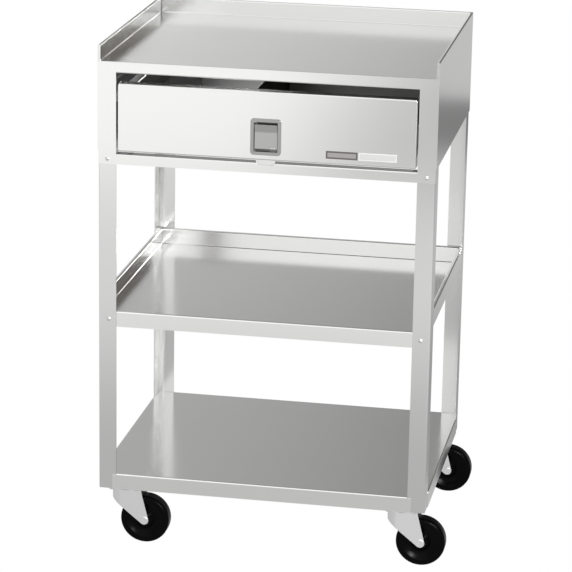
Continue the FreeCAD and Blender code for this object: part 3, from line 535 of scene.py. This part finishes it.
class TROLLEY_OT_stage(Operator):
    """Set up the floor, the lamps, the surroundings and the camera"""
    bl_idname = "trolley.stage"
    bl_label = "Stage"

    def execute(self, context):
        self.make_floor()
        self.make_world(context.scene)
        self.make_lamps()
        self.make_camera(context.scene)
        context.scene.view_settings.view_transform = "Standard"
        return {"FINISHED"}

    def make_floor(self):
        # White to the eye; what the metal mirrors is dimmer near the wheels and to the right.
        # Each falloff gives the two places, in metres, and the strengths at them
        floor_size = 14
        begin_piece()
        bpy.ops.mesh.primitive_plane_add(size=floor_size)
        floor = bpy.context.active_object
        floor.name = "studio_floor"
        material = bpy.data.materials.new("StudioFloor")
        tree = node_tree(material)
        place = add_node(tree, "ShaderNodeTexCoord")
        split = add_node(tree, "ShaderNodeSeparateXYZ")
        link(tree, place.outputs["Object"], split.inputs["Vector"])
        reach = add_node(tree, "ShaderNodeVectorMath", operation="LENGTH")
        link(tree, place.outputs["Object"], reach.inputs[0])
        distance = reach.outputs["Value"]
        near = combine(tree, "MULTIPLY", falloff(tree, distance, 0.7, 1.7, 0.62, 0.93),
                       falloff(tree, split.outputs["Y"], -0.1, 0.5, 1.0, 0.60))
        far = blend(tree, falloff(tree, split.outputs["Y"], -0.5, 0.5, 0.0, 1.0),
                    falloff(tree, split.outputs["X"], -0.54, -0.24, 1.26, 0.50),
                    falloff(tree, split.outputs["Y"], 3.05, 3.2, 0.22, 0.60))
        strength = blend(tree, falloff(tree, distance, 2.3, 2.8, 0.0, 1.0), near, far)
        mirrored = add_node(tree, "ShaderNodeEmission")
        mirrored.inputs["Color"].default_value = WHITE
        link(tree, strength, mirrored.inputs["Strength"])
        seen = add_node(tree, "ShaderNodeEmission")
        seen.inputs["Color"].default_value = WHITE
        seen.inputs["Strength"].default_value = 1.0
        path = add_node(tree, "ShaderNodeLightPath")
        mix = add_node(tree, "ShaderNodeMixShader")
        link(tree, path.outputs["Is Camera Ray"], mix.inputs["Fac"])
        link(tree, mirrored.outputs["Emission"], mix.inputs[1])
        link(tree, seen.outputs["Emission"], mix.inputs[2])
        out = add_node(tree, "ShaderNodeOutputMaterial")
        link(tree, mix.outputs["Shader"], out.inputs["Surface"])
        floor.data.materials.append(material)

    def make_world(self, scene):
        world = bpy.data.worlds.new("Studio")
        scene.world = world
        tree = node_tree(world)
        least_strength = 0.15
        path = add_node(tree, "ShaderNodeLightPath")
        seen = add_node(tree, "ShaderNodeBackground")
        seen.inputs["Color"].default_value = WHITE
        seen.inputs["Strength"].default_value = 1.0
        around = add_node(tree, "ShaderNodeBackground")
        place = add_node(tree, "ShaderNodeTexCoord")
        split = add_node(tree, "ShaderNodeSeparateXYZ")
        link(tree, place.outputs["Generated"], split.inputs["Vector"])
        side, height = split.outputs["X"], split.outputs["Z"]
        across = falloff(tree, side, -0.26, 0.06, 0.90, 0.22)
        upward = combine(tree, "ADD", falloff(tree, height, 0.17, 0.30, 1.0, 0.51),
                         falloff(tree, height, 0.5, 1.0, 0.0, 0.5))
        least = add_node(tree, "ShaderNodeMath", operation="MAXIMUM")
        least.inputs[1].default_value = least_strength
        link(tree, combine(tree, "MULTIPLY", across, upward), least.inputs[0])
        # Only the band in front that the upright back flanges mirror is bright
        band = combine(tree, "MULTIPLY", falloff(tree, side, -0.5, -0.3, 0.0, 1.0),
                       falloff(tree, side, 0.0, 0.25, 1.0, 0.0))
        behind = falloff(tree, split.outputs["Y"], -0.4, 0.0, 0.0, 1.0)
        strength = blend(tree, behind, falloff(tree, band, 0.0, 1.0, 0.5, 1.2), least.outputs[0])
        link(tree, strength, around.inputs["Strength"])
        tint = add_node(tree, "ShaderNodeMix", data_type="RGBA")
        tint.inputs["A"].default_value = WHITE
        tint.inputs["B"].default_value = (1, 0.95, 0.88, 1)
        warm = combine(tree, "MULTIPLY", behind, falloff(tree, side, -0.05, 0.25, 0.0, 1.0))
        link(tree, warm, tint.inputs["Factor"])
        link(tree, tint.outputs["Result"], around.inputs["Color"])
        mix = add_node(tree, "ShaderNodeMixShader")
        link(tree, path.outputs["Is Camera Ray"], mix.inputs["Fac"])
        link(tree, around.outputs["Background"], mix.inputs[1])
        link(tree, seen.outputs["Background"], mix.inputs[2])
        out = add_node(tree, "ShaderNodeOutputWorld")
        link(tree, mix.outputs["Shader"], out.inputs["Surface"])

    def make_lamps(self):
        # The last one lights the closed cabinet, whose inside shows through the slit over the drawer
        for name, place, aim, size, power in (
            ("key_lamp", (-1.8, -2.2, 2.4), (0, 0, 0.3), 1.4, 14.0),
            ("spark_lamp", (2.4, -1.35, 2.1), (0, 0, 0.3), 0.42, 16.0),
            ("wheel_lamp", (1.03, -3.05, 0.78), (0, 0, 0.1), 0.5, 60.0),
            ("cabinet_lamp", (-0.11, 0.05, 0.757), (-0.11, 0.06, 0.6), 0.12, 0.45),
        ):
            begin_piece()
            bpy.ops.object.light_add(type="AREA", location=place)
            lamp = bpy.context.active_object
            lamp.name = name
            lamp.data.size = size
            lamp.data.energy = power
            lamp.visible_camera = False
            lamp.rotation_euler = (Vector(aim) - Vector(place)).to_track_quat("-Z", "Y").to_euler()

    def make_camera(self, scene):
        # Fitted to the straight edges in the photograph; width and focal length in its pixels
        image_width = 572.0
        focal = 2769.47
        place = (0.73055, -4.09712, 1.59941)
        heading, tilt, roll = (math.radians(angle) for angle in (10.1384, 73.6462, 1.0323))
        begin_piece()
        bpy.ops.object.camera_add()
        camera = bpy.context.active_object
        camera.name = "photo_camera"
        camera.data.sensor_fit = "HORIZONTAL"
        camera.data.sensor_width = 36.0
        camera.data.lens = focal / image_width * camera.data.sensor_width
        camera.data.clip_end = 60.0
        aimed = Matrix.Rotation(heading, 4, "Z") @ Matrix.Rotation(tilt, 4, "X")
        turned = aimed @ Matrix.Rotation(roll, 4, "Z")
        camera.matrix_world = Matrix.Translation(place) @ turned
        scene.camera = camera


class TROLLEY_PT_sidebar(Panel):
    bl_label = "Instrument Trolley"
    bl_idname = "TROLLEY_PT_sidebar"
    bl_space_type = "VIEW_3D"
    bl_region_type = "UI"
    bl_category = "Trolley"

    def draw(self, context):
        for step in STEPS:
            self.layout.operator(step.bl_idname)


STEPS = (
    TROLLEY_OT_sheets, TROLLEY_OT_latch, TROLLEY_OT_hardware, TROLLEY_OT_wheels,
    TROLLEY_OT_turned_edges, TROLLEY_OT_plates, TROLLEY_OT_stage,
)
SETTINGS = {
    "trolley_steel": TrolleySteel, "trolley_wheels": TrolleyWheels,
    "trolley_edges": TrolleyEdges, "trolley_plates": TrolleyPlates,
}


def register():
    for kind in (*SETTINGS.values(), *STEPS, TROLLEY_PT_sidebar):
        bpy.utils.register_class(kind)
    for name, kind in SETTINGS.items():
        setattr(bpy.types.Scene, name, PointerProperty(type=kind))


def unregister():
    for name in SETTINGS:
        delattr(bpy.types.Scene, name)
    for kind in reversed((*SETTINGS.values(), *STEPS, TROLLEY_PT_sidebar)):
        bpy.utils.unregister_class(kind)


def main():
    register()
    bpy.ops.trolley.sheets()
    bpy.ops.trolley.latch()
    bpy.ops.trolley.hardware()
    bpy.ops.trolley.wheels()
    bpy.ops.trolley.turned_edges()
    bpy.ops.trolley.plates()
    bpy.ops.trolley.stage()


if __name__ == "__main__":
    main()
